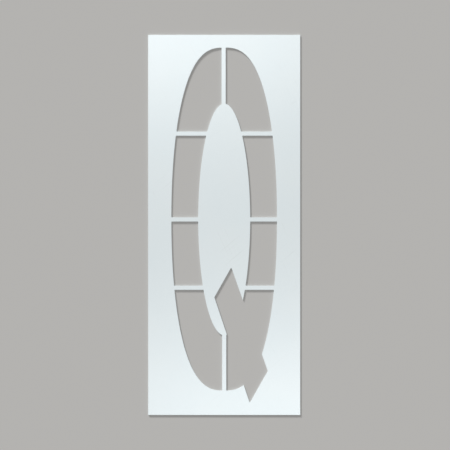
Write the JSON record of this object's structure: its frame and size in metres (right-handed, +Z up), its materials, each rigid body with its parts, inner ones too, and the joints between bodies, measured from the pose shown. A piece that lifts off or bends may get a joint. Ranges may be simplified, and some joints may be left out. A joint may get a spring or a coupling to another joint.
{
  "type": "road marking stencil",
  "caption": "Flat white plastic sheet stencil for painting a tall letter on a road: oval bowl and slanted tail cut as windows, with an island held by narrow bridges.",
  "frame": {"origin": "middle of the sheet's underside", "axes": "+Y along the sheet towards the letter's head, +X to the letter's right as it is read, +Z up out of the top face"},
  "size_m": [0.4064, 1.016, 0.0032],
  "materials": {
    "sheet_plastic": "satin white polyethylene sheet with routed edges"
  },
  "bodies": {
    "root": {"stencil_sheet": "sheet_plastic"}
  },
  "joints": []
}
